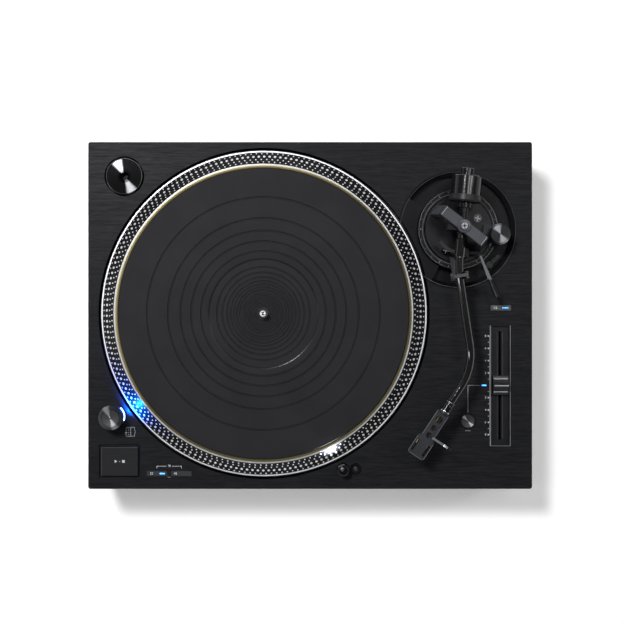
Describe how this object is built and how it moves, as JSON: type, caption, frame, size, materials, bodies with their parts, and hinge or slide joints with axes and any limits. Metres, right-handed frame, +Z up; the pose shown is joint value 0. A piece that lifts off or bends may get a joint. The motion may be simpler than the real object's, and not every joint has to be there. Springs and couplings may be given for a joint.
{
  "type": "direct drive turntable",
  "caption": "Direct drive record turntable: heavy platter with strobe dots and rubber mat, S-shaped tonearm on a gimbal, pitch fader, strobe tower and screw feet.",
  "frame": {"origin": "on the floor under the middle of the deck", "axes": "+X to the right, +Y to the rear, +Z up, seen by someone who stands at the front"},
  "size_m": [0.453, 0.354, 0.149],
  "materials": {
    "deck_plate": "brushed black anodised",
    "deck_casting": "fine black paint",
    "inner_moulding": "moulded",
    "base_rubber": "matt",
    "foot_black": "matt",
    "steel": "brushed",
    "bronze": "turned",
    "coil_board": "lacquered board with copper coils",
    "magnet": "sintered",
    "circuit": "lacquered board",
    "platter_metal": "turned and polished rim with mirror dots",
    "platter_brass": "turned",
    "damping": "matt",
    "mat_rubber": "matt, grooved",
    "spindle_chrome": "polished",
    "spun_silver": "spun",
    "control_black": "fine black anodised",
    "lens_glass": "clear, lit blue",
    "button_grey": "fine brushed",
    "key_black": "satin",
    "light_blue": "lit",
    "slider_black": "satin",
    "arm_cast": "fine black paint",
    "arm_dark": "dark anodised",
    "bridge_grey": "satin",
    "arm_silver": "satin",
    "weight_steel": "dark satin",
    "dial_black": "satin with plain marks",
    "shell_black": "fine black",
    "rest_black": "satin",
    "rear_plate": "fine black paint",
    "jack_gold": "gold plated"
  },
  "bodies": {
    "chassis": {"top_panel": "deck_plate", "cabinet_casting": "deck_casting", "inner_base": "inner_moulding", "rubber_base": "base_rubber", "base_screws": "steel", "bearing_housing": "steel", "bearing_bushes": "bronze", "stator": "coil_board", "main_board": "circuit", "power_supply": "steel", "strobe_tower": "control_black", "strobe_lens": "lens_glass", "zero_light": "light_blue", "pitch_frame": "control_black", "terminal_panel": "rear_plate", "phono_jacks": "jack_gold", "ground_terminal": "steel", "mains_inlet": "rest_black", "arm_base": "arm_cast"},
    "platter": {"platter_casting": "platter_metal", "platter_brass_plate": "platter_brass", "platter_damping": "damping", "platter_mat": "mat_rubber", "spindle": "spindle_chrome", "rotor_yoke": "steel", "rotor_magnets": "magnet"},
    "adaptor": {"adaptor_45": "spun_silver"},
    "power_knob": {"power_knob": "spun_silver"},
    "start_stop": {"start_stop_button": "button_grey"},
    "speed_33": {"speed_33_key": "key_black"},
    "speed_45": {"speed_45_key": "key_black"},
    "range": {"range_key": "key_black"},
    "reset": {"reset_button": "button_grey"},
    "stylus_lamp": {"stylus_lamp": "spun_silver"},
    "lamp_button": {"lamp_button": "control_black"},
    "pitch_slider": {"pitch_slider": "slider_black"},
    "foot_front_left": {"foot_front_left": "foot_black"},
    "foot_front_right": {"foot_front_right": "foot_black"},
    "foot_rear_left": {"foot_rear_left": "foot_black"},
    "foot_rear_right": {"foot_rear_right": "foot_black"},
    "height_ring": {"height_ring": "arm_dark"},
    "height_lock": {"height_lock_lever": "arm_silver"},
    "arm_mount": {"arm_platform": "arm_dark", "gimbal_bridge": "bridge_grey", "arm_screws": "steel", "anti_skate_housing": "arm_dark", "arm_rest": "rest_black"},
    "anti_skate_knob": {"anti_skate_knob": "arm_dark"},
    "cue_lever": {"cue_lever": "arm_silver"},
    "lift_bar": {"lift_bar": "rest_black"},
    "arm_clamp": {"arm_clamp": "rest_black"},
    "gimbal": {"gimbal_ring": "bridge_grey"},
    "arm": {"arm_rear_shaft": "arm_silver", "arm_tube": "arm_silver"},
    "weight_bush": {"weight_bush": "bronze"},
    "counterweight": {"counterweight": "weight_steel"},
    "weight_dial": {"weight_dial": "dial_black"},
    "locking_collar": {"locking_collar": "arm_silver"},
    "headshell": {"headshell": "shell_black", "finger_lift": "arm_silver"}
  },
  "joints": [
    {"name": "platter_spin", "type": "hinge", "parent": "chassis", "child": "platter", "pos_m": [-0.047, 0.002, 0.1], "axis": [0, 0, 1], "continuous": true},
    {"name": "adaptor_lift", "type": "slide", "parent": "chassis", "child": "adaptor", "axis": [0, 0, 1], "range_m": [0, 0.02]},
    {"name": "power_turn", "type": "hinge", "parent": "chassis", "child": "power_knob", "pos_m": [-0.2002, -0.1026, 0.104], "axis": [0, 0, -1], "range_deg": [0, 50]},
    {"name": "start_press", "type": "slide", "parent": "chassis", "child": "start_stop", "axis": [0, 0, -1], "range_m": [0, 0.0015], "stiffness_N_per_m": 500, "springref_m": -0.002},
    {"name": "speed_33_press", "type": "slide", "parent": "chassis", "child": "speed_33", "axis": [0, 0, -1], "range_m": [0, 0.0008], "stiffness_N_per_m": 200, "springref_m": -0.002},
    {"name": "speed_45_press", "type": "slide", "parent": "chassis", "child": "speed_45", "axis": [0, 0, -1], "range_m": [0, 0.0008], "stiffness_N_per_m": 200, "springref_m": -0.002},
    {"name": "range_press", "type": "slide", "parent": "chassis", "child": "range", "axis": [0, 0, -1], "range_m": [0, 0.0008], "stiffness_N_per_m": 200, "springref_m": -0.002},
    {"name": "reset_press", "type": "slide", "parent": "chassis", "child": "reset", "axis": [0, 0, -1], "range_m": [0, 0.0008], "stiffness_N_per_m": 200, "springref_m": -0.002},
    {"name": "lamp_press", "type": "slide", "parent": "chassis", "child": "stylus_lamp", "axis": [0, 0, -1], "range_m": [0, 0.0134], "stiffness_N_per_m": 30, "springref_m": -0.006},
    {"name": "lamp_button_press", "type": "slide", "parent": "chassis", "child": "lamp_button", "axis": [0, 0, -1], "range_m": [0, 0.0015], "stiffness_N_per_m": 200, "springref_m": -0.002},
    {"name": "pitch_slide", "type": "slide", "parent": "chassis", "child": "pitch_slider", "axis": [0, -1, 0], "range_m": [-0.0503, 0.0503]},
    {"name": "foot_front_left_screw", "type": "slide", "parent": "chassis", "child": "foot_front_left", "axis": [0, 0, -1], "range_m": [0, 0.008]},
    {"name": "foot_front_right_screw", "type": "slide", "parent": "chassis", "child": "foot_front_right", "axis": [0, 0, -1], "range_m": [0, 0.008]},
    {"name": "foot_rear_left_screw", "type": "slide", "parent": "chassis", "child": "foot_rear_left", "axis": [0, 0, -1], "range_m": [0, 0.008]},
    {"name": "foot_rear_right_screw", "type": "slide", "parent": "chassis", "child": "foot_rear_right", "axis": [0, 0, -1], "range_m": [0, 0.008]},
    {"name": "height_turn", "type": "hinge", "parent": "chassis", "child": "height_ring", "pos_m": [0.15024, 0.08756, 0.092], "axis": [0, 0, 1], "range_deg": [0, 360]},
    {"name": "platform_rise", "type": "slide", "parent": "chassis", "child": "arm_mount", "axis": [0, 0, 1], "range_m": [0, 0.006]},
    {"name": "height_lock_turn", "type": "hinge", "parent": "chassis", "child": "height_lock", "pos_m": [0.18236, 0.05189, 0.09], "axis": [0, 0, -1], "range_deg": [0, 25]},
    {"name": "anti_skate_turn", "type": "hinge", "parent": "arm_mount", "child": "anti_skate_knob", "pos_m": [0.18935, 0.08136, 0.116], "axis": [0, 0, -1], "range_deg": [0, 270]},
    {"name": "cue_turn", "type": "hinge", "parent": "arm_mount", "child": "cue_lever", "pos_m": [0.16024, 0.06286, 0.112], "axis": [-1, 0, 0], "range_deg": [0, 55]},
    {"name": "lift_rise", "type": "slide", "parent": "arm_mount", "child": "lift_bar", "axis": [0, 0, 1], "range_m": [0, 0.0026]},
    {"name": "clamp_turn", "type": "hinge", "parent": "arm_mount", "child": "arm_clamp", "pos_m": [0.15345, 0.04003, 0.14285], "axis": [-0.1478, 0.989, 0], "range_deg": [0, 100]},
    {"name": "arm_swing", "type": "hinge", "parent": "arm_mount", "child": "gimbal", "pos_m": [0.15024, 0.08756, 0.132], "axis": [0, 0, -1], "range_deg": [0, 46]},
    {"name": "arm_lift", "type": "hinge", "parent": "gimbal", "child": "arm", "pos_m": [0.15024, 0.08756, 0.132], "axis": [-0.9954, 0.0958, 0], "range_deg": [-1.5, 6]},
    {"name": "weight_slide", "type": "slide", "parent": "arm", "child": "weight_bush", "axis": [0.0958, 0.9954, 0], "range_m": [-0.004, 0.004]},
    {"name": "weight_turn", "type": "hinge", "parent": "weight_bush", "child": "counterweight", "pos_m": [0.15408, 0.12737, 0.132], "axis": [0.0958, 0.9954, 0], "range_deg": [-720, 720]},
    {"name": "weight_dial_turn", "type": "hinge", "parent": "weight_bush", "child": "weight_dial", "pos_m": [0.15293, 0.11543, 0.132], "axis": [0.0958, 0.9954, 0], "continuous": true},
    {"name": "collar_turn", "type": "hinge", "parent": "arm", "child": "locking_collar", "pos_m": [0.1323, -0.09507, 0.132], "axis": [-0.5505, -0.8348, 0], "range_deg": [0, 90]},
    {"name": "headshell_pull", "type": "slide", "parent": "arm", "child": "headshell", "axis": [-0.5505, -0.8348, 0], "range_m": [0, 0.012]}
  ],
  "couplings": [
    {"joint": "height_turn", "follows": "platform_rise", "rad_per_m": 1047},
    {"joint": "weight_turn", "follows": "weight_slide", "rad_per_m": 3141},
    {"joint": "cue_turn", "follows": "lift_rise", "rad_per_m": 369}
  ]
}
